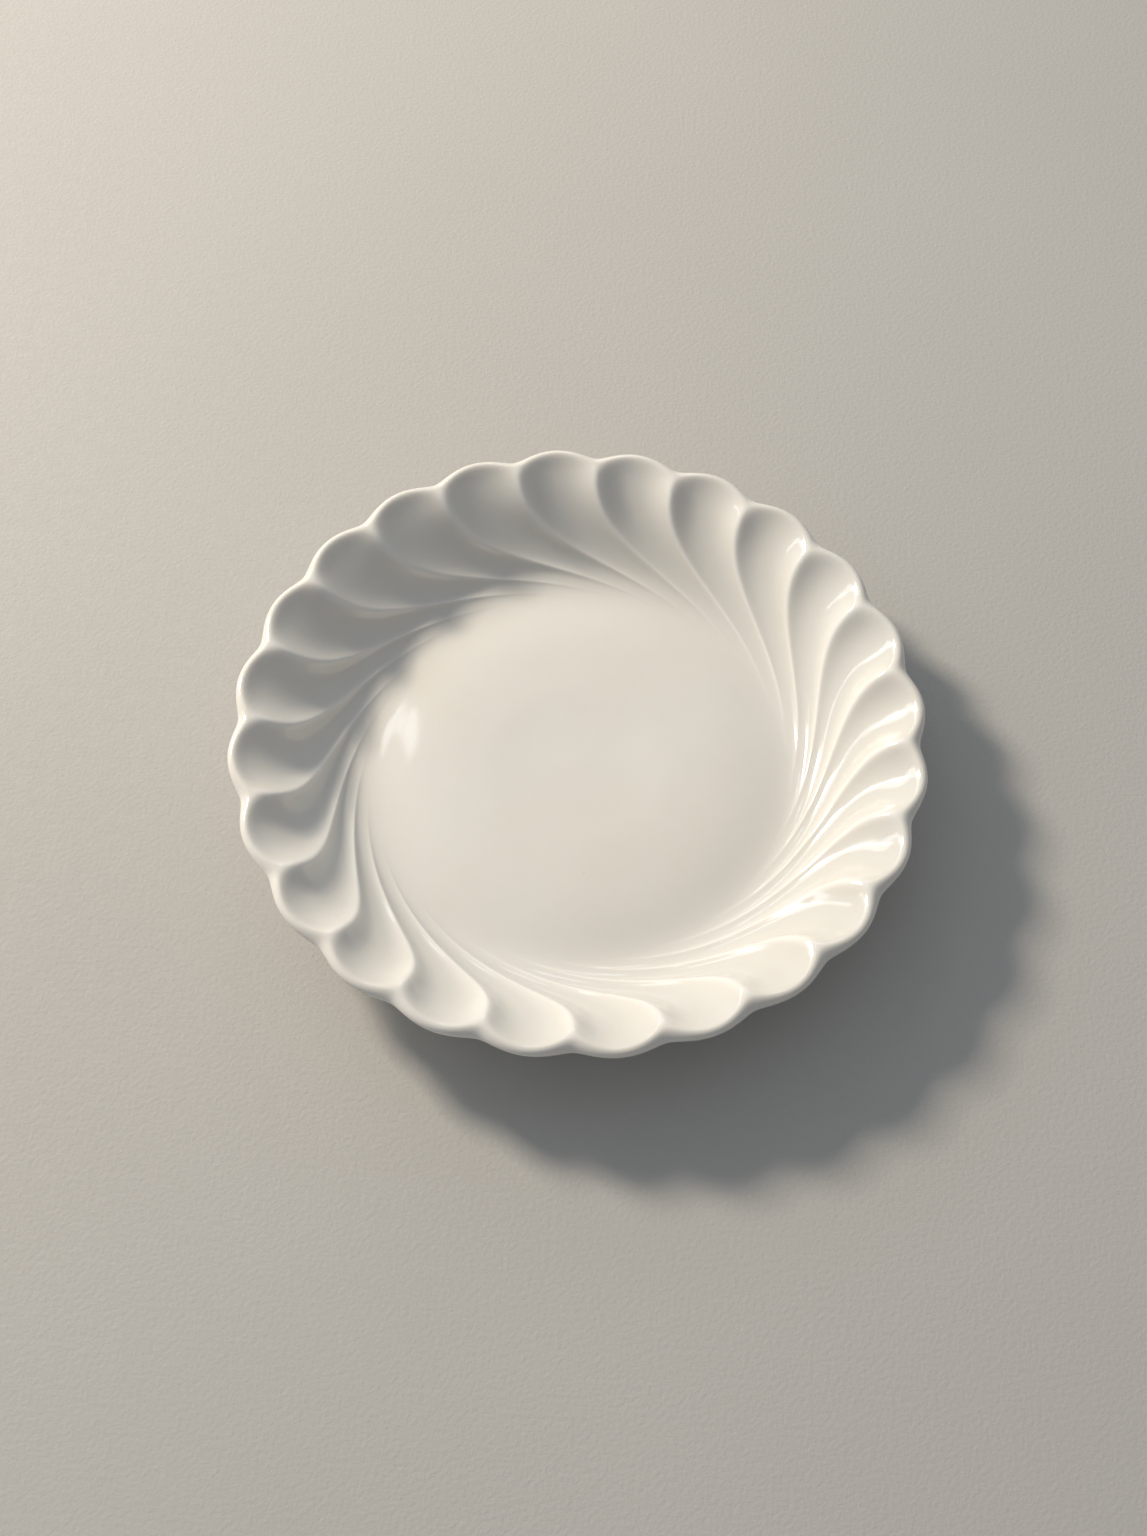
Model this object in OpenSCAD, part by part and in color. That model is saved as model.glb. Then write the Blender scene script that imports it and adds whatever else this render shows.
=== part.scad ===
// Scalloped dessert plate: a shallow glazed dish with a swirled, fluted wall, standing on a turned foot ring.
// Millimetres, +Z up. The origin is the middle of the standing face; one ridge meets the rim on the +X axis.

/* [Plate] */
// Diameter over the lobe tips
plate_d = 160; // [140:1:190]
// Height from the table to the top of the rim
plate_h = 23.6; // [20:0.2:32]
// Diameter of the well, where the wall leaves the floor
well_d = 98; // [88:1:104]
// Rise of the well floor from its edge to its middle
well_rise = 2; // [0:0.1:2.4]
// Thickness of the base at the edge of the well
base_t = 2.6; // [2.2:0.1:4.5]
// Thickness of the rounded lip
lip_t = 2.6; // [2:0.1:4]

/* [Flutes] */
// Number of flutes, each ending in one lobe of the rim
flutes = 24; // [16:1:26]
// Depth of the notch between two lobes, measured in from the lobe tips
notch = 3; // [1:0.1:4]
// Share of that notch kept on the outside, below the lip
outer_notch_share = 0.4; // [0.3:0.05:1]
// Depth of a flute below the ridges beside it, in its wide part near the rim
flute_depth = 2.4; // [1:0.1:3.2]
// Flatness of a flute's floor: a higher power makes the floor wider and the ridges narrower
flute_flat = 1.3; // [1:0.05:2]
// Angle through which a ridge swings between the rim and the well
swing_angle = 52.5; // [0:0.5:90]
// How late the ridges start to swing on the way in: a higher power keeps them straight for longer
swing_power = 3.5; // [2:0.1:5]
// Rounding of the ridge crests, as a share of half a flute
crest_soft = 0.18; // [0.05:0.01:0.4]
// Share of the wall's run over which the flutes grow out of the smooth foot of the wall
flute_fade = 0.5; // [0.2:0.05:0.8]
// Tightness of the roll from a flute up to the lip, on the inside of the wall
lip_roll = 14; // [8:1:24]
// Tightness of the same roll on the outside of the wall
outer_roll = 8; // [4:1:12]

/* [Foot] */
// Height of the foot ring
foot_h = 2.4; // [1.5:0.1:5]
// Set-back of the foot ring from the edge of the well
foot_inset = 3; // [1:0.5:8]
// Width of the foot ring where it joins the base
foot_w = 4.6; // [4:0.1:8]
// Lean of the two sides of the foot ring
foot_lean = 12; // [0:1:20]
// Rounding of the two edges of the standing face
foot_edge_r = 0.6; // [0.3:0.1:0.7]

/* [Facets] */
// Facets across one flute
facets_per_flute = 8; // [6:2:8]
// Rows of facets up the inside of the wall
inner_rows = 13; // [10:1:15]
// Rows of facets down the outside of the wall
outer_rows = 8; // [6:1:10]
// Rows of facets around the lip
lip_rows = 4; // [3:1:5]
// Rows of facets across the well floor
floor_rows = 5; // [3:1:5]

/* [Hidden] */

well_r = well_d/2;
floor_z = foot_h + base_t;
lip_r = (plate_d - lip_t)/2;
wall_rise = plate_h - floor_z;
ridge_run = lip_r - notch - well_r;
slant = norm([ridge_run, wall_rise])/ridge_run;
columns = flutes*facets_per_flute;
dome_power = 7;
right_angle = 90;
half_turn = 180;
full_turn = 360;
turned_fn = 96;

foot_outer_r = well_r - foot_inset;
foot_inner_r = foot_outer_r - foot_w;
// Distance of an edge's centre in from the top corner of a leaning side that runs tangent to the edge
foot_edge_in = (foot_edge_r + (foot_h - foot_edge_r)*sin(foot_lean))/cos(foot_lean);

// Eases from 0 to 1 with level ends
function ease(x) = let (c = min(max(x, 0), 1)) c*c*(3 - 2*c);

// Slope of that ease
function ease_slope(x) = 6*x*(1 - x);

// 1 on a ridge and 0 in the middle of a flute, with a rounded crest, for one column of the wall
function ridge(j) =
    let (across = (j % facets_per_flute)/facets_per_flute)
    let (off_ridge = 1 - abs(2*across - 1))
    let (full = norm([1, crest_soft]) - crest_soft)
    let (rounded = (norm([off_ridge, crest_soft]) - crest_soft)/full)
    pow(1 - rounded, 2);

// 0 on a ridge and 1 in the middle of a flute
function hollow(j) = 1 - pow(ridge(j), flute_flat);

// Radius of the wall at share t of its run, with notches that grow with the square of that share
function wall_r(t, j, depth) = well_r + (lip_r - well_r)*t - depth*ridge(j)*t*t;

// Height of the ridge crests: an S-shaped wall, level at the well and at the rim
function crest_z(t) = floor_z + wall_rise*ease(t);

// Angle by which a ridge has swung at share t of the wall's run
function swing(t) = -swing_angle*pow(1 - t, swing_power);

// Width of a flute across its own direction, as a share of its width at the rim
function flute_width(t) =
    let (r = well_r + (lip_r - well_r)*t)
    let (turn_per_run = swing_angle*PI/half_turn*swing_power*pow(1 - t, swing_power - 1))
    let (lean = r*turn_per_run/(ridge_run*slant))
    r/lip_r/norm([1, lean]);

// Depth of the flutes: in proportion to their width, fading out at the well and rolling up to the lip
function depth_at(t, roll) =
    flute_depth*flute_width(t)*ease(t/flute_fade)*pow(1 - pow(t, roll), 2);

// Thickness from the base to the lip, measured straight down through the sloping wall
function wall_t(t) =
    let (slope = wall_rise*ease_slope(t)/ridge_run)
    (base_t + (lip_t - base_t)*t)*norm([1, slope]);

function inside_z(t, j) = crest_z(t) - depth_at(t, lip_roll)*hollow(j);
function outside_z(t, j) = crest_z(t) - depth_at(t, outer_roll)*hollow(j) - wall_t(t);

function place(r, z, t, j) =
    let (a = full_turn*j/columns + swing(t))
    [r*cos(a), r*sin(a), z];

// Well floor: a flat dome that falls to a level trough at the foot of the wall
function floor_ring(share) =
    [for (j = [0:columns - 1])
        place(well_r*share, floor_z + well_rise*pow(1 - pow(share, dome_power), 2), 0, j)];

function inside_ring(t) =
    [for (j = [0:columns - 1]) place(wall_r(t, j, notch), inside_z(t, j), t, j)];

function outside_ring(t) =
    [for (j = [0:columns - 1]) place(wall_r(t, j, notch*outer_notch_share), outside_z(t, j), t, j)];

// Half round over the lip, from the inside edge at angle 0 to the outside edge at a half turn
function lip_ring(a) =
    [for (j = [0:columns - 1])
        let (inner = wall_r(1, j, notch))
        let (outer = wall_r(1, j, notch*outer_notch_share))
        let (over = (1 - cos(a))/2)
        place(inner + (outer - inner)*over + lip_t/2*sin(a), plate_h - lip_t*over, 1, j)];

// Rows crowd together towards the rim
function row_share(i, rows) = sin(right_angle*i/rows);

// Lofted shell: well floor, fluted inside, lip, fluted outside and flat underside
module plate_body() {
    rings = concat(
        [for (i = [1:floor_rows - 1]) floor_ring(row_share(i, floor_rows))],
        [for (i = [0:inner_rows]) inside_ring(row_share(i, inner_rows))],
        [for (i = [1:lip_rows - 1]) lip_ring(half_turn*i/lip_rows)],
        [for (i = [outer_rows:-1:0]) outside_ring(row_share(i, outer_rows))]
    );
    last = len(rings)*columns + 1;
    points = concat(
        [[0, 0, floor_z + well_rise]],
        [for (ring = rings) each ring],
        [[0, 0, foot_h]]
    );
    top_fan = [for (j = [0:columns - 1]) [0, 1 + (j + 1) % columns, 1 + j]];
    bands = [for (i = [0:len(rings) - 2], j = [0:columns - 1])
        let (next = (j + 1) % columns)
        let (a = 1 + i*columns + j)
        let (b = 1 + i*columns + next)
        let (c = 1 + (i + 1)*columns + next)
        let (d = 1 + (i + 1)*columns + j)
        each [[a, b, c], [a, c, d]]];
    base_fan = [for (j = [0:columns - 1])
        [last, last - columns + j, last - columns + (j + 1) % columns]];
    color([0.95, 0.94, 0.91])
        polyhedron(points = points, faces = concat(top_fan, bands, base_fan), convexity = 6);
}

// Turned foot: leaning sides, two rounded edges and a flat standing face on the table
module foot_ring() {
    outer_c = foot_outer_r - foot_edge_in;
    inner_c = foot_inner_r + foot_edge_in;
    touch = foot_edge_r*[cos(foot_lean), sin(foot_lean)];
    color([0.83, 0.79, 0.72])
        rotate_extrude($fn = turned_fn)
            union() {
                polygon([
                    [foot_inner_r, foot_h],
                    [inner_c - touch[0], foot_edge_r - touch[1]],
                    [inner_c, 0],
                    [outer_c, 0],
                    [outer_c + touch[0], foot_edge_r - touch[1]],
                    [foot_outer_r, foot_h]
                ]);
                translate([inner_c, foot_edge_r])
                    circle(r = foot_edge_r, $fn = turned_fn);
                translate([outer_c, foot_edge_r])
                    circle(r = foot_edge_r, $fn = turned_fn);
            }
}

plate_body();
foot_ring();
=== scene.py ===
"""A scalloped dessert plate in glazed porcelain: a swirled, fluted dish on a turned foot ring.

The dish is one lofted surface and the foot is one turned surface, both in metres in the frame of
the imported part. Run as a script, the file makes the plate, its finishes, a pale floor, soft light
and a camera.
"""

import math

import bpy
import numpy as np
from mathutils import Matrix, Vector


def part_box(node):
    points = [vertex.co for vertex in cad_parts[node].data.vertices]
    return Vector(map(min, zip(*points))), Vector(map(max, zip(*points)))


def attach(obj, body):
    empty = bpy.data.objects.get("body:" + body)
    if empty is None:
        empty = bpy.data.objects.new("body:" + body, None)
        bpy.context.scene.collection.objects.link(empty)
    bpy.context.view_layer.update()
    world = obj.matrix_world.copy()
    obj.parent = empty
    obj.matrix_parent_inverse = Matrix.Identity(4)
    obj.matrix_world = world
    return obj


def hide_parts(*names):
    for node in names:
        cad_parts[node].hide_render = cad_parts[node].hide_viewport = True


bl_info = {
    "name": "Scalloped dessert plate",
    "version": (1, 0, 0),
    "blender": (4, 5, 0),
    "location": "View3D > Sidebar > Plate",
    "description": "Makes a fluted porcelain plate on its foot ring, and a stage for it",
    "category": "Add Mesh",
}

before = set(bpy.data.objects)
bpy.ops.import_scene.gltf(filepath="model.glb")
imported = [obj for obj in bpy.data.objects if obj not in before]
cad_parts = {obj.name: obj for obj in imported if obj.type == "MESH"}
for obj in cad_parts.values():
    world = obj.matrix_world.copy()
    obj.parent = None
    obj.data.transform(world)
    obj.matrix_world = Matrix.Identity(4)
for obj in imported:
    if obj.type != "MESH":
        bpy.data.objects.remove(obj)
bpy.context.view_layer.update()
FOOT_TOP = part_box("foot_ring")[1].z
RIM_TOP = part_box("plate_body")[1].z

RIGHT_ANGLE = math.pi / 2
HALF_TURN = math.pi
FULL_TURN = 2 * math.pi

# Well floor: flatness of its dome and of its sag, the share of it that sags, and the pip's spread
DOME_POWER = 7
SAG_POWER = 4
SAG_SHARE = 0.45
PIP_RADIUS = 0.0022

# Samples of the dish, round it and along its section, and how far they crowd to crests and edges
SAMPLES_PER_FLUTE = 24
CREST_CROWDING = 0.55
WELL_SAMPLES = 30
WELL_CROWDING = 1.2
INSIDE_SAMPLES = 72
LIP_SAMPLES = 18
OUTSIDE_SAMPLES = 40
BASE_SAMPLES = 5

# Samples of the foot, round it and along its section
FOOT_SAMPLES = 480
FILLET_SAMPLES = 9
EDGE_SAMPLES = 12
FACE_SAMPLES = 8

# Glaze thickness in the trough, on the lip, in the outside grooves and on the base. Where it is thick
# it darkens, partly as pooled glaze and partly as painted shade; on the lip it pales, partly as thin
# glaze and partly as a painted highlight
TROUGH_POOL_AND_SHADE = 0.35
LIP_THIN_AND_HIGHLIGHT = -0.4
GROOVE_POOL_AND_SHADE = 0.6
BASE_POOL_AND_SHADE = 0.2

# Spread of the glaze: the share of the wall over which it grows in the flutes, how abruptly it stops
# short of the lip and thins on a crest, and its reach from the trough up the wall and into the well
# The same spread darkens the flutes and the trough with painted shade and pales each crest with a
# painted highlight.
POOL_GROWTH = 0.22
POOL_STOP_POWER = 30
THIN_POWER = 3
TROUGH_REACH = 0.2
TROUGH_POWER = 8

# Light in porcelain and glaze: refraction, and how far each colour spreads
GLAZE_IOR = 1.5
PORCELAIN_SCATTER = (1.0, 0.78, 0.58)

# Foot: the band over which the glaze ends, how far it wavers, and where the glaze starts to thicken and
# darken towards the base, partly as pooled glaze and partly as painted shade
GLAZE_END = (0.00035, 0.0005)
GLAZE_WAVER = 0.0005
POOL_AND_SHADE_FROM = 0.0014

# Floor of the stage
FLOOR_SIDES = 96
FLOOR_RADIUS = 7.0

# Colours of the light, the side from which the surround is brightest, and its least and greatest share
WARM_LIGHT = (1.0, 0.885, 0.73)
COOL_LIGHT = (0.85, 0.93, 1.0)
SURROUND_COLOUR = (0.90, 0.95, 1.0, 1.0)
BRIGHT_SIDE = (-0.45, 0.55, 0.70)
DIM_SHARE = 0.3
BRIGHT_SHARE = 1.7

# Camera: long side of the picture in millimetres, and the nearest distance that it sees
PICTURE_SIDE = 36.0
NEAREST_VIEW = 0.01


class PlateSizes(bpy.types.PropertyGroup):
    """Sizes of the dish: the solids' values, with sharper crests, lower flutes and an uneven hand."""

    plate_d: bpy.props.FloatProperty(
        name="Diameter", description="Diameter over the lobe tips",
        default=0.160, unit="LENGTH")
    plate_h: bpy.props.FloatProperty(
        name="Height", description="Height from the table to the top of the rim",
        default=RIM_TOP, unit="LENGTH")
    well_d: bpy.props.FloatProperty(
        name="Well diameter", description="Diameter where the wall leaves the floor",
        default=0.098, unit="LENGTH")
    well_rise: bpy.props.FloatProperty(
        name="Well rise", description="Rise of the well floor from its edge to its middle",
        default=0.0020, unit="LENGTH")
    base_t: bpy.props.FloatProperty(
        name="Base thickness", description="Thickness of the base at the edge of the well",
        default=0.0026, unit="LENGTH")
    lip_t: bpy.props.FloatProperty(
        name="Lip thickness", description="Thickness of the rounded lip",
        default=0.0026, unit="LENGTH")
    flutes: bpy.props.IntProperty(
        name="Flutes", description="Number of flutes, each ending in one lobe of the rim",
        default=24)
    notch: bpy.props.FloatProperty(
        name="Notch", description="Depth of the notch between two lobes",
        default=0.003, unit="LENGTH")
    outer_notch_share: bpy.props.FloatProperty(
        name="Outer notch", description="Share of the notch kept on the outside, below the lip",
        default=0.4, subtype="FACTOR")
    flute_depth: bpy.props.FloatProperty(
        name="Flute depth", description="Depth of a flute below its ridges, near the rim",
        default=0.0024, unit="LENGTH")
    flute_flat: bpy.props.FloatProperty(
        name="Flute flatness", description="Higher values widen a flute's floor and narrow the ridges",
        default=1.3)
    swing_angle: bpy.props.FloatProperty(
        name="Swing", description="Angle through which a ridge swings from the rim to the well",
        default=math.radians(52.5), subtype="ANGLE")
    swing_power: bpy.props.FloatProperty(
        name="Late swing", description="How late the ridges start to swing on the way in",
        default=3.5)
    crest_soft: bpy.props.FloatProperty(
        name="Outer rounding",
        description="Rounding of the notches and the outside, as a share of half a flute",
        default=0.18, subtype="FACTOR")
    wall_crest: bpy.props.FloatProperty(
        name="Crest rounding",
        description="Rounding of a crest inside the wall, as a share of half a flute",
        default=0.10, subtype="FACTOR")
    flute_fade: bpy.props.FloatProperty(
        name="Flute fade", description="Share of the wall over which the flutes grow",
        default=0.27, subtype="FACTOR")
    lip_roll: bpy.props.FloatProperty(
        name="Lip roll", description="Tightness of the roll from a flute up to the lip",
        default=14)
    outer_roll: bpy.props.FloatProperty(
        name="Outer roll", description="Tightness of the same roll on the outside",
        default=8)
    sag: bpy.props.FloatProperty(
        name="Sag", description="Sag of the middle of the well floor",
        default=0.00036, unit="LENGTH")
    pip: bpy.props.FloatProperty(
        name="Pip", description="Height of the low pip that turning leaves in the middle",
        default=0.00006, unit="LENGTH")
    drift: bpy.props.FloatProperty(
        name="Hand drift", description="How far a lobe falls short of the full diameter",
        default=0.00045, unit="LENGTH")
    gather: bpy.props.FloatProperty(
        name="Gather", description="Angle by which the lobes gather towards the +X side",
        default=math.radians(1.2), subtype="ANGLE")


class FootSizes(bpy.types.PropertyGroup):
    """Sizes of the turned foot ring."""

    foot_inset: bpy.props.FloatProperty(
        name="Inset", description="Set-back of the foot from the edge of the well",
        default=0.003, unit="LENGTH")
    foot_w: bpy.props.FloatProperty(
        name="Width", description="Width of the foot where it joins the base",
        default=0.0046, unit="LENGTH")
    foot_lean: bpy.props.FloatProperty(
        name="Lean", description="Lean of the two sides of the foot",
        default=math.radians(12), subtype="ANGLE")
    edge_r: bpy.props.FloatProperty(
        name="Edge", description="Rounding of the two edges of the standing face",
        default=0.0006, unit="LENGTH")
    fillet_r: bpy.props.FloatProperty(
        name="Fillet", description="Glaze fillet where the foot joins the base",
        default=0.0007, unit="LENGTH")


class PlateFinish(bpy.types.PropertyGroup):
    """Colours of the glaze, with its painted shade and painted highlight, and of the bare clay."""

    glaze_white: bpy.props.FloatVectorProperty(
        name="Glaze", description="Glaze over the white body",
        default=(0.80, 0.785, 0.745), subtype="COLOR", size=3)
    glaze_warm: bpy.props.FloatVectorProperty(
        name="Warm glaze", description="Warmer drift in the glaze",
        default=(0.775, 0.745, 0.69), subtype="COLOR", size=3)
    # Paler glaze on the crests and the lip: partly thin glaze, partly a painted highlight.
    thin_glaze_and_painted_highlight: bpy.props.FloatVectorProperty(
        name="Thin glaze", description="Glaze where it runs thin over the crests and the lip",
        default=(0.88, 0.865, 0.835), subtype="COLOR", size=3)
    # Darker glaze in the flutes, the trough, the outside grooves and under the base: partly pooled
    # glaze, partly painted shade.
    glaze_pool: bpy.props.FloatVectorProperty(
        name="Pooled glaze", description="Glaze where it lies thick in the flutes",
        default=(0.70, 0.695, 0.665), subtype="COLOR", size=3)
    speck: bpy.props.FloatVectorProperty(
        name="Specks", description="Fine specks under the glaze",
        default=(0.42, 0.37, 0.31), subtype="COLOR", size=3)
    bare_clay: bpy.props.FloatVectorProperty(
        name="Bare clay", description="Unglazed clay of the standing face",
        default=(0.69, 0.64, 0.56), subtype="COLOR", size=3)
    worn_clay: bpy.props.FloatVectorProperty(
        name="Worn clay", description="Greyed clay where the foot has rubbed",
        default=(0.50, 0.47, 0.43), subtype="COLOR", size=3)


class StageLook(bpy.types.PropertyGroup):
    """Colour of the floor, the five soft lights, the light all round and the camera."""

    floor_colour: bpy.props.FloatVectorProperty(
        name="Floor", description="Colour of the pale floor",
        default=(0.50, 0.49, 0.47), subtype="COLOR", size=3)
    light_distance: bpy.props.FloatProperty(
        name="Light distance", description="Distance of the soft lights from the plate",
        default=1.25, unit="LENGTH")
    key_power: bpy.props.FloatProperty(
        name="Key light", description="Power of the warm soft light low at the upper left",
        default=15.0, unit="POWER")
    key_size: bpy.props.FloatVectorProperty(
        name="Key size", description="Width and height of the warm light",
        default=(0.2, 0.2), unit="LENGTH", size=2)
    key_azimuth: bpy.props.FloatProperty(
        name="Key azimuth", description="Direction of the warm light, counted from the +X axis",
        default=math.radians(144), subtype="ANGLE")
    key_elevation: bpy.props.FloatProperty(
        name="Key elevation", description="Height of the warm light above the horizon",
        default=math.radians(35), subtype="ANGLE")
    top_power: bpy.props.FloatProperty(
        name="Top light", description="Power of the weak cool light high at the back",
        default=0.13, unit="POWER")
    top_size: bpy.props.FloatVectorProperty(
        name="Top size", description="Width and height of the cool light",
        default=(0.075, 0.14), unit="LENGTH", size=2)
    top_azimuth: bpy.props.FloatProperty(
        name="Top azimuth", description="Direction of the cool light, counted from the +X axis",
        default=math.radians(122), subtype="ANGLE")
    top_elevation: bpy.props.FloatProperty(
        name="Top elevation", description="Height of the cool light above the horizon",
        default=math.radians(51), subtype="ANGLE")
    back_power: bpy.props.FloatProperty(
        name="Back light", description="Power of the cool soft light at the back",
        default=0.35, unit="POWER")
    back_size: bpy.props.FloatVectorProperty(
        name="Back size", description="Width and height of the light at the back",
        default=(0.22, 0.22), unit="LENGTH", size=2)
    back_azimuth: bpy.props.FloatProperty(
        name="Back azimuth", description="Direction of the light at the back, counted from the +X axis",
        default=math.radians(92), subtype="ANGLE")
    back_elevation: bpy.props.FloatProperty(
        name="Back elevation", description="Height of the light at the back above the horizon",
        default=math.radians(27), subtype="ANGLE")
    low_power: bpy.props.FloatProperty(
        name="Low light", description="Power of the wide light low at the left",
        default=1.3, unit="POWER")
    low_size: bpy.props.FloatVectorProperty(
        name="Low size", description="Width and height of the low light",
        default=(0.85, 0.16), unit="LENGTH", size=2)
    low_azimuth: bpy.props.FloatProperty(
        name="Low azimuth", description="Direction of the low light, counted from the +X axis",
        default=math.radians(131), subtype="ANGLE")
    low_elevation: bpy.props.FloatProperty(
        name="Low elevation", description="Height of the low light above the horizon",
        default=math.radians(26), subtype="ANGLE")
    side_power: bpy.props.FloatProperty(
        name="Side light", description="Power of the soft light at the left that the flutes mirror",
        default=0.42, unit="POWER")
    side_size: bpy.props.FloatVectorProperty(
        name="Side size", description="Width and height of the light at the left",
        default=(0.35, 0.11), unit="LENGTH", size=2)
    side_azimuth: bpy.props.FloatProperty(
        name="Side azimuth", description="Direction of the light at the left, counted from the +X axis",
        default=math.radians(156), subtype="ANGLE")
    side_elevation: bpy.props.FloatProperty(
        name="Side elevation", description="Height of the light at the left above the horizon",
        default=math.radians(27), subtype="ANGLE")
    sky: bpy.props.FloatProperty(
        name="Surround", description="Mean strength of the light from all round",
        default=0.265)
    camera_elevation: bpy.props.FloatProperty(
        name="Elevation", description="Height of the camera above the horizon",
        default=math.radians(61.0), subtype="ANGLE")
    camera_azimuth: bpy.props.FloatProperty(
        name="Azimuth", description="Turn of the camera about the plate's axis",
        default=math.radians(1.3), subtype="ANGLE")
    camera_roll: bpy.props.FloatProperty(
        name="Roll", description="Tilt of the picture about the view axis",
        default=math.radians(0.96), subtype="ANGLE")
    camera_distance: bpy.props.FloatProperty(
        name="Distance", description="Distance of the camera from the point it looks at",
        default=0.491, unit="LENGTH")
    camera_target: bpy.props.FloatVectorProperty(
        name="Target", description="Point that the camera looks at",
        default=(-0.00107, -0.0094, 0.0222), subtype="XYZ", size=3)
    camera_lens: bpy.props.FloatProperty(
        name="Lens", description="Focal length in millimetres on a 36 mm long side",
        default=50.85)


def ease(x):
    """Eases from 0 to 1 with level ends."""
    c = np.clip(x, 0, 1)
    return c * c * (3 - 2 * c)


def dome(x, power):
    """Flat dome, 1 in the middle and 0 from x = 1 on, level at both: a higher power is flatter."""
    return (1 - np.clip(x, 0, 1) ** power) ** 2


def ease_slope(x):
    """Slope of the ease from 0 to 1."""
    return 6 * x * (1 - x)


def ridge(across, soft):
    """1 on a ridge and 0 in the middle of a flute, with a rounded crest.

    across runs from 0 on one ridge to 1 on the next. The distance from the nearer ridge is
    rounded at 0 as a hyperbola, and the height falls with the square of it.
    """
    off_ridge = 1 - np.abs(2 * across - 1)
    full = np.hypot(1, soft) - soft
    rounded = (np.hypot(off_ridge, soft) - soft) / full
    return (1 - rounded) ** 2


def hand_drift(angle):
    """Uneven hand of the maker, from -1 to 1: a slight oval and two slow waves round the rim."""
    return (-0.45 * np.cos(2 * angle)
            + 0.30 * np.sin(5 * angle + 2.1)
            + 0.25 * np.sin(8 * angle + 4.0))


class DishShape:
    """The dish as functions of t, the share of the wall's run, and j, the place round it.

    j counts flutes from the ridge on the +X axis, so its fraction is the place across a flute.
    Heights and radii are in metres.
    """

    def __init__(self, sizes):
        self.sizes = sizes
        self.well_r = sizes.well_d / 2
        self.floor_z = FOOT_TOP + sizes.base_t
        self.lip_r = (sizes.plate_d - sizes.lip_t) / 2
        self.wall_rise = sizes.plate_h - self.floor_z
        self.ridge_run = self.lip_r - sizes.notch - self.well_r
        self.slant = math.hypot(self.ridge_run, self.wall_rise) / self.ridge_run

    def notch(self, j):
        """1 in a notch of the rim and 0 at the tip of a lobe."""
        return ridge(j % 1, self.sizes.crest_soft)

    def hollow(self, j, soft):
        """0 on a crest and 1 in the middle of a flute."""
        return 1 - ridge(j % 1, soft) ** self.sizes.flute_flat

    def angle(self, t, j):
        """Place round the axis: flutes gathered a little to one side, swung back towards the well."""
        turn = FULL_TURN * j / self.sizes.flutes
        swung = self.sizes.swing_angle * (1 - t) ** self.sizes.swing_power
        return turn - self.sizes.gather * np.sin(turn) - swung

    def radius(self, t, j, depth):
        """The wall runs from the well to the lip, which is notched on the ridges and drifts."""
        turn = FULL_TURN * j / self.sizes.flutes
        stray = self.sizes.drift * (1 + hand_drift(turn)) / 2
        return self.well_r + (self.lip_r - stray - self.well_r) * t - depth * self.notch(j) * t ** 2

    def crest(self, t):
        """Ridge crests climb in an S, level at the well and at the rim."""
        return self.floor_z + self.wall_rise * ease(t)

    def flute_width(self, t):
        """Width of a flute across its own direction, as a share of its width at the rim."""
        r = self.well_r + (self.lip_r - self.well_r) * t
        power = self.sizes.swing_power
        turn_per_run = self.sizes.swing_angle * power * (1 - t) ** (power - 1)
        lean = r * turn_per_run / (self.ridge_run * self.slant)
        return r / self.lip_r / np.hypot(1, lean)

    def depth(self, t, roll):
        """Flutes as deep as they are wide, fading out at the well and rolling up to the lip."""
        fade = ease(t / self.sizes.flute_fade)
        return self.sizes.flute_depth * self.flute_width(t) * fade * (1 - t ** roll) ** 2

    def thickness(self, t):
        """Thickness from the base to the lip, measured straight down through the slope."""
        slope = self.wall_rise * ease_slope(t) / self.ridge_run
        return (self.sizes.base_t + (self.sizes.lip_t - self.sizes.base_t) * t) * np.hypot(1, slope)

    def floor(self, share, j):
        """Well floor: a flat dome that falls to a level trough.

        Its middle sags a little and has a low pip, which falls off as a bell curve.
        """
        r = self.well_r * share
        z = self.floor_z + self.sizes.well_rise * dome(share, DOME_POWER)
        z = z - self.sizes.sag * dome(share / SAG_SHARE, SAG_POWER)
        z = z + self.sizes.pip * np.exp(-(r / PIP_RADIUS) ** 2)
        return r, z + 0 * j, self.angle(0, j)

    def inside(self, t, j):
        """Inside of the wall: flutes sunk below the S of the crests."""
        z = self.crest(t) - self.depth(t, self.sizes.lip_roll) * self.hollow(j, self.sizes.wall_crest)
        return self.radius(t, j, self.sizes.notch), z, self.angle(t, j)

    def outside(self, t, j):
        """Outside of the wall: softer flutes, one thickness below the inside."""
        z = self.crest(t) - self.depth(t, self.sizes.outer_roll) * self.hollow(j, self.sizes.crest_soft)
        depth = self.sizes.notch * self.sizes.outer_notch_share
        return self.radius(t, j, depth), z - self.thickness(t), self.angle(t, j)

    def lip(self, a, j):
        """Half round over the lip, from the inside edge at 0 to the outside edge at a half turn."""
        inner = self.radius(1, j, self.sizes.notch)
        outer = self.radius(1, j, self.sizes.notch * self.sizes.outer_notch_share)
        over = (1 - np.cos(a)) / 2
        r = inner + (outer - inner) * over + self.sizes.lip_t / 2 * np.sin(a)
        return r, self.sizes.plate_h - self.sizes.lip_t * over + 0 * j, self.angle(1, j)

    def underside(self, share, j):
        """Flat underside of the base."""
        return self.well_r * share, FOOT_TOP + 0 * share * j, self.angle(0, j)


def in_space(r, z, angle):
    """Points from radius, height and angle."""
    r, z, angle = np.broadcast_arrays(r, z, angle)
    return np.stack([r * np.cos(angle), r * np.sin(angle), z], -1)


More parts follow.
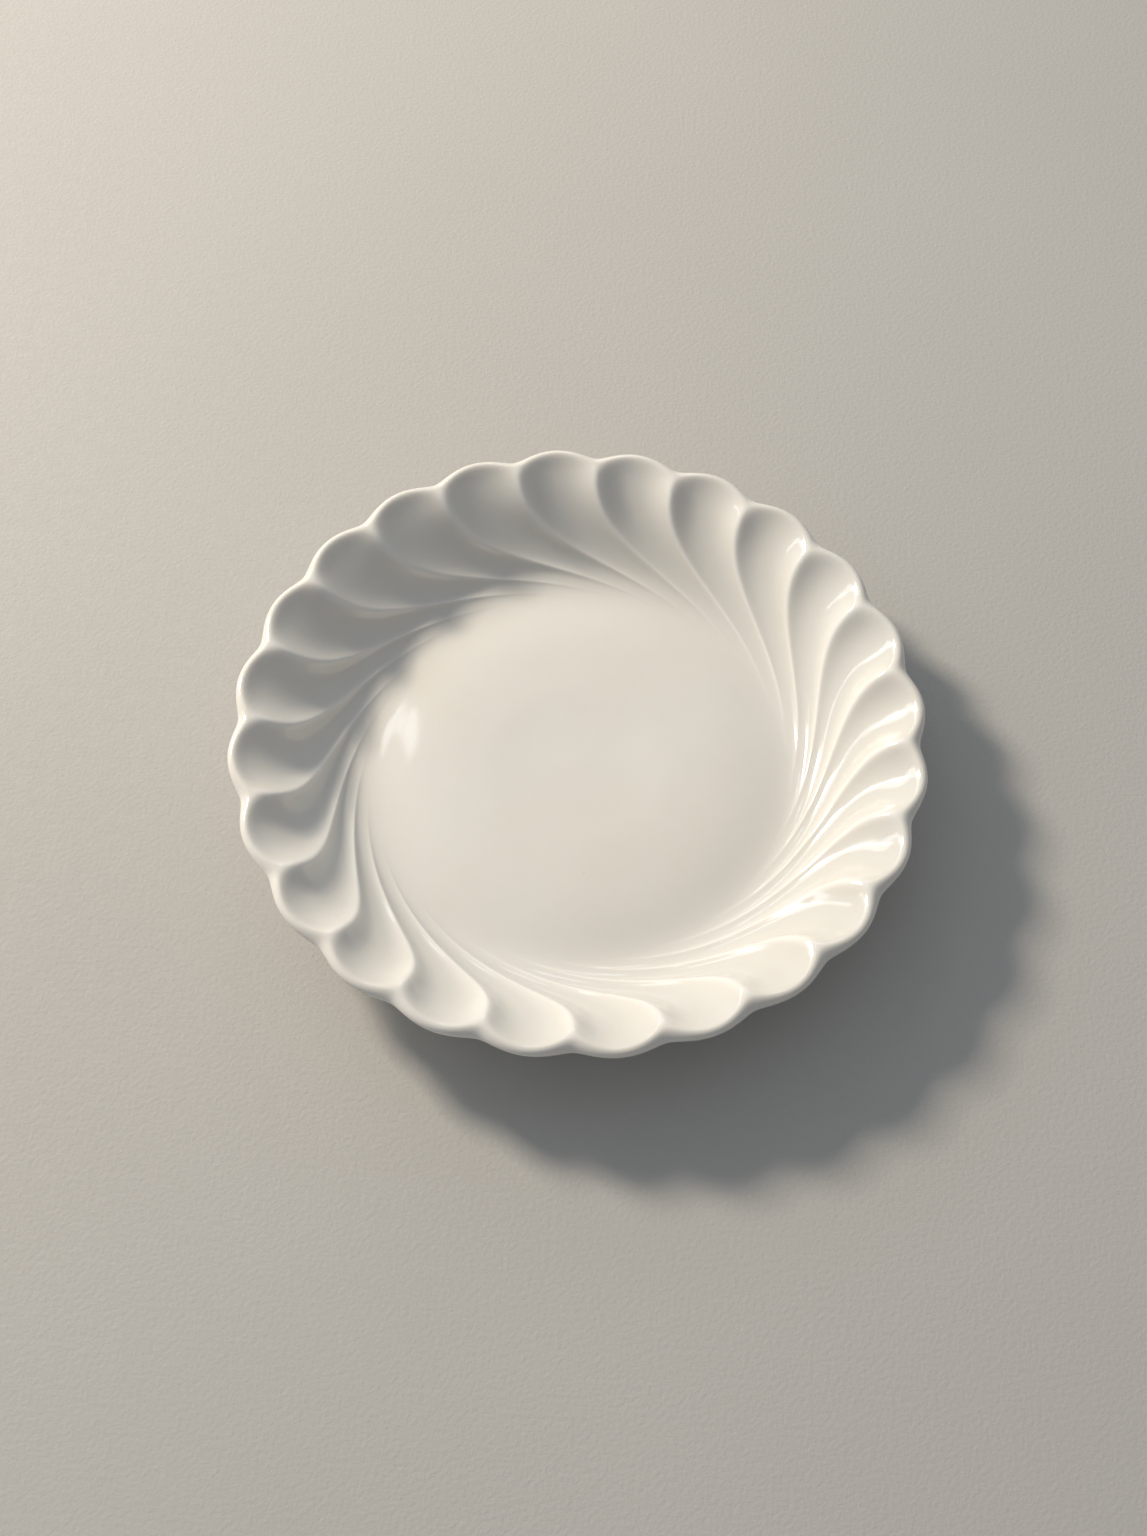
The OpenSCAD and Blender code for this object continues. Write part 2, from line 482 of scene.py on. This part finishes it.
def grid_faces(rows, columns, ring=False):
    """Four-sided faces of a grid that closes round its columns, and along its rows as a ring."""
    bands = rows if ring else rows - 1
    i = np.arange(bands)[:, None]
    j = np.arange(columns)[None, :]
    here, there = i * columns, (i + 1) % rows * columns
    near, far = j, (j + 1) % columns
    return np.stack([here + near, there + near, there + far, here + far], -1).reshape(-1, 4)


def smooth_mesh(name, points, faces):
    """Mesh object with smooth faces, at the origin."""
    mesh = bpy.data.meshes.new(name)
    mesh.from_pydata(points.tolist(), [], faces)
    mesh.polygons.foreach_set("use_smooth", np.ones(len(mesh.polygons), bool))
    mesh.update()
    piece = bpy.data.objects.new(name, mesh)
    bpy.context.scene.collection.objects.link(piece)
    return piece


def flute_columns(flutes):
    """Places round the dish in flutes: even steps pulled towards the crests by a sine."""
    across = np.arange(SAMPLES_PER_FLUTE) / SAMPLES_PER_FLUTE
    across = across - CREST_CROWDING * np.sin(FULL_TURN * across) / FULL_TURN
    return (np.arange(flutes)[:, None] + across[None, :]).reshape(1, -1)


def section_samples():
    """Samples across the well, up the inside, over the lip, down the outside and in under the base.

    The lip's are angles and the others are shares. The wall's follow a sine, so they crowd together
    towards the rim. An end that two sheets have in common belongs to the wall.
    """
    floor = np.linspace(0, 1, WELL_SAMPLES)[1:-1, None] ** WELL_CROWDING
    up = np.sin(np.linspace(0, RIGHT_ANGLE, INSIDE_SAMPLES))[:, None]
    over = np.linspace(0, HALF_TURN, LIP_SAMPLES)[1:-1, None]
    down = np.sin(np.linspace(RIGHT_ANGLE, 0, OUTSIDE_SAMPLES))[:, None]
    under = np.linspace(1, 0, BASE_SAMPLES)[1:-1, None]
    return floor, up, over, down, under


def glaze_and_painted_light(dish, j):
    """Thickness of the glaze at each sample: up to 1 in a flute, 0 on plain ground, -1 on a crest.

    On a crest it falls with a power of the ridge's height. It grows from the well outwards, stops
    short of the lip, and lies thicker again in the trough at the foot of the wall. Where it is thick
    the colour darkens, partly as pooled glaze and partly as painted shade; on the crests and the lip
    it pales, partly as thin glaze and partly as a painted highlight.
    """
    floor, up, over, down, under = section_samples()
    hollow = dish.hollow(j, dish.sizes.wall_crest)
    # Crests are paled, partly as thin glaze and partly as a painted highlight; flutes and the trough
    # are darkened, partly as pooled glaze and partly as painted shade.
    thin = (1 - hollow) ** THIN_POWER
    flutes = (hollow - thin) * ease(up / POOL_GROWTH) * (1 - up ** POOL_STOP_POWER)
    return np.concatenate([
        TROUGH_POOL_AND_SHADE * floor ** TROUGH_POWER + 0 * j,
        flutes + TROUGH_POOL_AND_SHADE * (1 - ease(up / TROUGH_REACH)),
        LIP_THIN_AND_HIGHLIGHT * np.sin(over) + 0 * j,
        (1 - hollow) * GROOVE_POOL_AND_SHADE * ease(down / dish.sizes.flute_fade),
        BASE_POOL_AND_SHADE + 0 * under * j,
    ])


def dish_surface(sizes):
    """Points, faces and glaze thickness of the whole dish; the thickness also carries painted shade and
    a painted highlight.

    One grid runs from the middle of the well floor up the inside, over the lip, down the outside
    and in to the middle of the underside, and closes round the axis; a fan closes each middle.
    """
    dish = DishShape(sizes)
    columns = sizes.flutes * SAMPLES_PER_FLUTE
    j = flute_columns(sizes.flutes)
    floor, up, over, down, under = section_samples()
    sheets = [
        dish.floor(floor, j),
        dish.inside(up, j),
        dish.lip(over, j),
        dish.outside(down, j),
        dish.underside(under, j),
    ]
    rows = np.concatenate([in_space(*sheet) for sheet in sheets])
    count = len(rows)
    middle = dish.floor(0.0, 0.0)[1]
    ends = np.array([[0, 0, middle], [0, 0, FOOT_TOP]])
    points = np.concatenate([rows.reshape(-1, 3), ends])
    top, base = count * columns, count * columns + 1
    near = np.arange(columns)
    far = (near + 1) % columns
    last = (count - 1) * columns
    faces = grid_faces(count, columns).tolist()
    faces += np.stack([np.full(columns, top), near, far], -1).tolist()
    faces += np.stack([np.full(columns, base), last + far, last + near], -1).tolist()
    return points, faces, np.concatenate([glaze_and_painted_light(dish, j).ravel(), [0.0, BASE_POOL_AND_SHADE]])


def foot_profile(sizes, foot):
    """Outline of the foot ring as (radius, height), round from the outside of its top.

    A glaze fillet leads into a leaning side, a rounded edge, the flat standing face, and the same
    back up the inside. The edge's centre lies so that the leaning side runs tangent to it.
    """
    outer = sizes.well_d / 2 - foot.foot_inset
    inner = outer - foot.foot_w
    lean = foot.foot_lean
    inset = (foot.edge_r + (FOOT_TOP - foot.edge_r) * math.sin(lean)) / math.cos(lean)
    bend = np.linspace(0, RIGHT_ANGLE - lean, FILLET_SAMPLES)
    fillet_r = outer + foot.fillet_r * (1 - np.sin(bend))
    fillet_z = FOOT_TOP - foot.fillet_r * (1 - np.cos(bend))
    turn = np.linspace(lean, RIGHT_ANGLE, EDGE_SAMPLES)
    edge_r = outer - inset + foot.edge_r * np.cos(turn)
    edge_z = foot.edge_r * (1 - np.sin(turn))
    half_r = np.concatenate([fillet_r[:-1], edge_r])
    half_z = np.concatenate([fillet_z[:-1], edge_z])
    face_r = np.linspace(outer - inset, inner + inset, FACE_SAMPLES)[1:-1]
    r = np.concatenate([half_r, face_r, (outer + inner - half_r)[::-1]])
    z = np.concatenate([half_z, 0 * face_r, half_z[::-1]])
    return r, z


def foot_surface(sizes, foot):
    """The foot's outline turned about the axis and closed along its top."""
    r, z = foot_profile(sizes, foot)
    turn = np.arange(FOOT_SAMPLES)[None, :] * FULL_TURN / FOOT_SAMPLES
    rows = in_space(r[:, None], z[:, None], turn)
    return rows.reshape(-1, 3), grid_faces(len(r), FOOT_SAMPLES, ring=True).tolist()


class Finish:
    """A node material under construction, ending in one Principled shader."""

    def __init__(self, name):
        self.material = bpy.data.materials.new(name)
        self.material.use_nodes = True
        self.tree = self.material.node_tree
        self.shader = self.tree.nodes["Principled BSDF"]
        self.place = self.node("ShaderNodeTexCoord").outputs["Object"]

    def node(self, kind, **values):
        """New node of a kind, with its own settings."""
        made = self.tree.nodes.new(kind)
        for key, value in values.items():
            setattr(made, key, value)
        return made

    def feed(self, socket, value):
        """Links an output to a socket, or sets the socket to a plain value."""
        if isinstance(value, bpy.types.NodeSocket):
            self.tree.links.new(value, socket)
        else:
            socket.default_value = value

    def set(self, name, value):
        """Links or sets an input of the shader itself."""
        self.feed(self.shader.inputs[name], value)

    def noise(self, scale, detail=2.0, roughness=0.5):
        """Cloudy pattern from 0 to 1 in the piece's own space."""
        made = self.node("ShaderNodeTexNoise")
        self.feed(made.inputs["Vector"], self.place)
        made.inputs["Scale"].default_value = scale
        made.inputs["Detail"].default_value = detail
        made.inputs["Roughness"].default_value = roughness
        return made.outputs["Fac"]

    def span(self, value, low, high, to_low=0.0, to_high=1.0):
        """Maps low to high onto to_low to to_high, clamped."""
        made = self.node("ShaderNodeMapRange")
        self.feed(made.inputs["Value"], value)
        ends = {"From Min": low, "From Max": high, "To Min": to_low, "To Max": to_high}
        for key, number in ends.items():
            made.inputs[key].default_value = number
        return made.outputs["Result"]

    def reckon(self, operation, a, b):
        """One step of arithmetic on two values."""
        made = self.node("ShaderNodeMath", operation=operation)
        self.feed(made.inputs[0], a)
        self.feed(made.inputs[1], b)
        return made.outputs["Value"]

    def mix(self, share, a, b):
        """Colour a where share is 0 and b where it is 1."""
        made = self.node("ShaderNodeMix", data_type="RGBA")
        self.feed(made.inputs["Factor"], share)
        for socket, value in ((made.inputs["A"], a), (made.inputs["B"], b)):
            colour = value if isinstance(value, bpy.types.NodeSocket) else (*value, 1.0)
            self.feed(socket, colour)
        return made.outputs["Result"]

    def relief(self, height, distance, strength=1.0):
        """Fine relief of a given depth on the shader's surface."""
        made = self.node("ShaderNodeBump")
        self.feed(made.inputs["Height"], height)
        made.inputs["Distance"].default_value = distance
        made.inputs["Strength"].default_value = strength
        self.set("Normal", made.outputs["Normal"])


def add_specks(finish, colour, speck):
    """Scatters rare fine specks: small spots in a few cells of a cell pattern."""
    cells = finish.node("ShaderNodeTexVoronoi")
    finish.feed(cells.inputs["Vector"], finish.place)
    cells.inputs["Scale"].default_value = 420.0
    spot = finish.span(cells.outputs["Distance"], 0.06, 0.10, 1.0, 0.0)
    split = finish.node("ShaderNodeSeparateColor")
    finish.feed(split.inputs["Color"], cells.outputs["Color"])
    rare = finish.span(split.outputs["Red"], 0.993, 0.994)
    faint = finish.reckon("MULTIPLY", rare, 0.4)
    return finish.mix(finish.reckon("MULTIPLY", spot, faint), colour, speck)


def glaze_colour(finish, look, pool_and_painted_light):
    """White glaze that drifts warm in soft clouds, deepens where it lies thick and pales where thin;
    the deepening is partly painted shade and the paling partly a painted highlight.
    """
    cloud = finish.span(finish.noise(24.0, 3.0), 0.35, 0.7)
    colour = finish.mix(cloud, look.glaze_white, look.glaze_warm)
    # Pooled glaze and painted shade darken the colour; thin glaze and a painted highlight pale it.
    colour = finish.mix(finish.span(pool_and_painted_light, 0.0, 1.0, 0.0, 0.45), colour, look.glaze_pool)
    colour = finish.mix(finish.span(pool_and_painted_light, 0.0, -1.0, 0.0, 0.8), colour, look.thin_glaze_and_painted_highlight)
    return add_specks(finish, colour, look.speck)


def set_glaze_gloss(finish):
    """Constants of a clear gloss glaze over translucent porcelain."""
    finish.set("IOR", GLAZE_IOR)
    finish.set("Subsurface Weight", 0.22)
    finish.set("Subsurface Radius", PORCELAIN_SCATTER)
    finish.set("Subsurface Scale", 0.0025)
    finish.set("Coat Weight", 0.35)
    finish.set("Coat Roughness", 0.04)


def porcelain_glaze(look):
    """Glossy clear glaze with a faint ripple, thicker in the flutes than on the ridges; its colour is
    darker in the flutes as painted shade and paler on the ridges as a painted highlight.
    """
    finish = Finish("porcelain_glaze")
    pool_and_painted_light = finish.node("ShaderNodeAttribute", attribute_name="glaze_pool").outputs["Fac"]
    finish.set("Base Color", glaze_colour(finish, look, pool_and_painted_light))
    finish.set("Roughness", finish.span(finish.noise(60.0, 4.0), 0.3, 0.75, 0.07, 0.14))
    swell = finish.noise(70.0, 1.0)
    fine = finish.reckon("MULTIPLY", finish.noise(420.0, 2.0), 0.12)
    finish.relief(finish.reckon("ADD", swell, fine), 0.00012)
    set_glaze_gloss(finish)
    return finish.material


def turned_foot(look):
    """Glazed sides down to a wavering glaze line, and bare, slightly worn clay below it."""
    finish = Finish("turned_foot")
    height = finish.node("ShaderNodeSeparateXYZ")
    finish.feed(height.inputs["Vector"], finish.place)
    waver = finish.reckon("MULTIPLY", finish.noise(90.0, 2.0), GLAZE_WAVER)
    glazed = finish.span(finish.reckon("SUBTRACT", height.outputs["Z"], waver), *GLAZE_END)
    grain = finish.noise(2600.0, 3.0, 0.65)
    rubbed = finish.reckon("MULTIPLY", finish.span(finish.noise(130.0, 4.0), 0.4, 0.7), 0.45)
    clay = finish.mix(finish.span(grain, 0.2, 0.9), look.bare_clay, look.glaze_warm)
    clay = finish.mix(rubbed, clay, look.worn_clay)
    # The glaze darkens towards the base above, partly as pooled glaze and partly as painted shade in
    # the join.
    glaze = glaze_colour(finish, look, finish.span(height.outputs["Z"], POOL_AND_SHADE_FROM, FOOT_TOP))
    finish.set("Base Color", finish.mix(glazed, clay, glaze))
    finish.set("Roughness", finish.span(glazed, 0.0, 1.0, 0.78, 0.1))
    rough = finish.reckon("MULTIPLY", grain, finish.span(glazed, 0.0, 1.0, 1.0, 0.02))
    step = finish.reckon("ADD", rough, finish.reckon("MULTIPLY", glazed, 1.5))
    finish.relief(step, 0.00006)
    finish.set("IOR", GLAZE_IOR)
    finish.set("Subsurface Weight", 0.1)
    finish.set("Subsurface Radius", PORCELAIN_SCATTER)
    finish.set("Subsurface Scale", 0.0015)
    return finish.material


def floor_finish(look):
    """Pale matt plaster with a fine tooth."""
    finish = Finish("pale_floor")
    cloud = finish.span(finish.noise(6.0, 4.0), 0.3, 0.7)
    pale = [min(1.0, c * 1.05) for c in look.floor_colour]
    finish.set("Base Color", finish.mix(cloud, look.floor_colour, pale))
    finish.set("Roughness", finish.span(finish.noise(300.0), 0.3, 0.7, 0.7, 0.85))
    finish.relief(finish.noise(900.0, 5.0, 0.6), 0.0004, 0.35)
    return finish.material


class PLATE_OT_dish(bpy.types.Operator):
    """Makes the fluted dish in glazed porcelain"""

    bl_idname = "plate.make_dish"
    bl_label = "Make dish"

    def execute(self, context):
        scene = context.scene
        points, faces, pool_and_painted_light = dish_surface(scene.plate_sizes)
        dish = smooth_mesh("glazed_dish", points, faces)
        # The attribute darkens the glaze as pooled glaze and painted shade, and pales it as thin glaze
        # and a painted highlight.
        thick = dish.data.attributes.new("glaze_pool", "FLOAT", "POINT")
        thick.data.foreach_set("value", pool_and_painted_light.astype(np.float32))
        dish.data.materials.append(porcelain_glaze(scene.plate_finish))
        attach(dish, "root")
        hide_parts("plate_body")
        return {"FINISHED"}


class PLATE_OT_foot(bpy.types.Operator):
    """Makes the turned foot ring with its bare standing face"""

    bl_idname = "plate.make_foot"
    bl_label = "Make foot ring"

    def execute(self, context):
        scene = context.scene
        points, faces = foot_surface(scene.plate_sizes, scene.plate_foot)
        foot = smooth_mesh("turned_foot_ring", points, faces)
        foot.data.materials.append(turned_foot(scene.plate_finish))
        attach(foot, "root")
        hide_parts("foot_ring")
        return {"FINISHED"}


def add_floor(look):
    """Flat round floor under the plate."""
    turn = np.arange(FLOOR_SIDES) * FULL_TURN / FLOOR_SIDES
    floor = smooth_mesh("floor", in_space(FLOOR_RADIUS, 0.0, turn), [list(range(FLOOR_SIDES))])
    floor.data.materials.append(floor_finish(look))


def add_softbox(look, name, colour):
    """Flat soft light, one of the five that the look describes, turned to the plate."""
    light = bpy.data.lights.new(f"{name}_softbox", "AREA")
    light.shape = "RECTANGLE"
    light.size, light.size_y = getattr(look, f"{name}_size")
    light.energy = getattr(look, f"{name}_power")
    light.color = colour
    azimuth, elevation = getattr(look, f"{name}_azimuth"), getattr(look, f"{name}_elevation")
    flat = math.cos(elevation)
    toward = Vector((flat * math.cos(azimuth), flat * math.sin(azimuth), math.sin(elevation)))
    holder = bpy.data.objects.new(light.name, light)
    holder.location = toward * look.light_distance
    holder.rotation_euler = (-toward).to_track_quat("-Z", "Y").to_euler()
    bpy.context.scene.collection.objects.link(holder)


def add_surround(strength):
    """Light from all round, brighter from the upper left and the back than from the front."""
    world = bpy.data.worlds.new("surround")
    world.use_nodes = True
    tree = world.node_tree
    place = tree.nodes.new("ShaderNodeTexCoord")
    side = tree.nodes.new("ShaderNodeVectorMath")
    side.operation = "DOT_PRODUCT"
    side.inputs[1].default_value = BRIGHT_SIDE
    grade = tree.nodes.new("ShaderNodeMapRange")
    ends = {"From Min": -1.0, "From Max": 1.0, "To Min": DIM_SHARE, "To Max": BRIGHT_SHARE}
    for key, number in ends.items():
        grade.inputs[key].default_value = number
    power = tree.nodes.new("ShaderNodeMath")
    power.operation = "MULTIPLY"
    power.inputs[1].default_value = strength
    background = tree.nodes["Background"]
    background.inputs["Color"].default_value = SURROUND_COLOUR
    tree.links.new(place.outputs["Generated"], side.inputs[0])
    tree.links.new(side.outputs["Value"], grade.inputs["Value"])
    tree.links.new(grade.outputs["Result"], power.inputs[0])
    tree.links.new(power.outputs["Value"], background.inputs["Strength"])
    bpy.context.scene.world = world


def add_camera(look):
    """Camera that looks at the target from the front and above, with a slight roll."""
    back = Vector((0, -math.cos(look.camera_elevation), math.sin(look.camera_elevation)))
    right = Vector((1, 0, 0))
    up = back.cross(right)
    turn = Matrix((right, up, back)).transposed() @ Matrix.Rotation(look.camera_roll, 3, "Z")
    pose = turn.to_4x4()
    pose.translation = Vector(look.camera_target) + back * look.camera_distance
    pose = Matrix.Rotation(look.camera_azimuth, 4, "Z") @ pose
    camera = bpy.data.objects.new("camera", bpy.data.cameras.new("camera"))
    camera.data.sensor_width = PICTURE_SIDE
    camera.data.lens = look.camera_lens
    camera.data.clip_start = NEAREST_VIEW
    camera.matrix_world = pose
    bpy.context.scene.collection.objects.link(camera)
    bpy.context.scene.camera = camera


class PLATE_OT_stage(bpy.types.Operator):
    """Makes the pale floor, the soft light and the camera"""

    bl_idname = "plate.make_stage"
    bl_label = "Make stage"

    def execute(self, context):
        look = context.scene.plate_stage
        add_floor(look)
        add_softbox(look, "key", WARM_LIGHT)
        for name in ("low", "top", "back", "side"):
            add_softbox(look, name, COOL_LIGHT)
        add_surround(look.sky)
        add_camera(look)
        context.scene.view_settings.view_transform = "Standard"
        return {"FINISHED"}


class PLATE_PT_panel(bpy.types.Panel):
    """Sizes, colours and buttons for the plate"""

    bl_label = "Dessert plate"
    bl_idname = "PLATE_PT_panel"
    bl_space_type = "VIEW_3D"
    bl_region_type = "UI"
    bl_category = "Plate"

    def draw(self, context):
        scene = context.scene
        for group in (scene.plate_sizes, scene.plate_foot, scene.plate_finish, scene.plate_stage):
            box = self.layout.box()
            for key in group.__annotations__:
                box.prop(group, key)
        for operator in OPERATORS:
            self.layout.operator(operator.bl_idname)


GROUPS = {
    "plate_sizes": PlateSizes,
    "plate_foot": FootSizes,
    "plate_finish": PlateFinish,
    "plate_stage": StageLook,
}
OPERATORS = (PLATE_OT_dish, PLATE_OT_foot, PLATE_OT_stage)


def register():
    for cls in (*GROUPS.values(), *OPERATORS, PLATE_PT_panel):
        bpy.utils.register_class(cls)
    for name, group in GROUPS.items():
        setattr(bpy.types.Scene, name, bpy.props.PointerProperty(type=group))


def unregister():
    for name in GROUPS:
        delattr(bpy.types.Scene, name)
    for cls in reversed((*GROUPS.values(), *OPERATORS, PLATE_PT_panel)):
        bpy.utils.unregister_class(cls)


def main():
    register()
    bpy.ops.plate.make_dish()
    bpy.ops.plate.make_foot()
    bpy.ops.plate.make_stage()


if __name__ == "__main__":
    main()
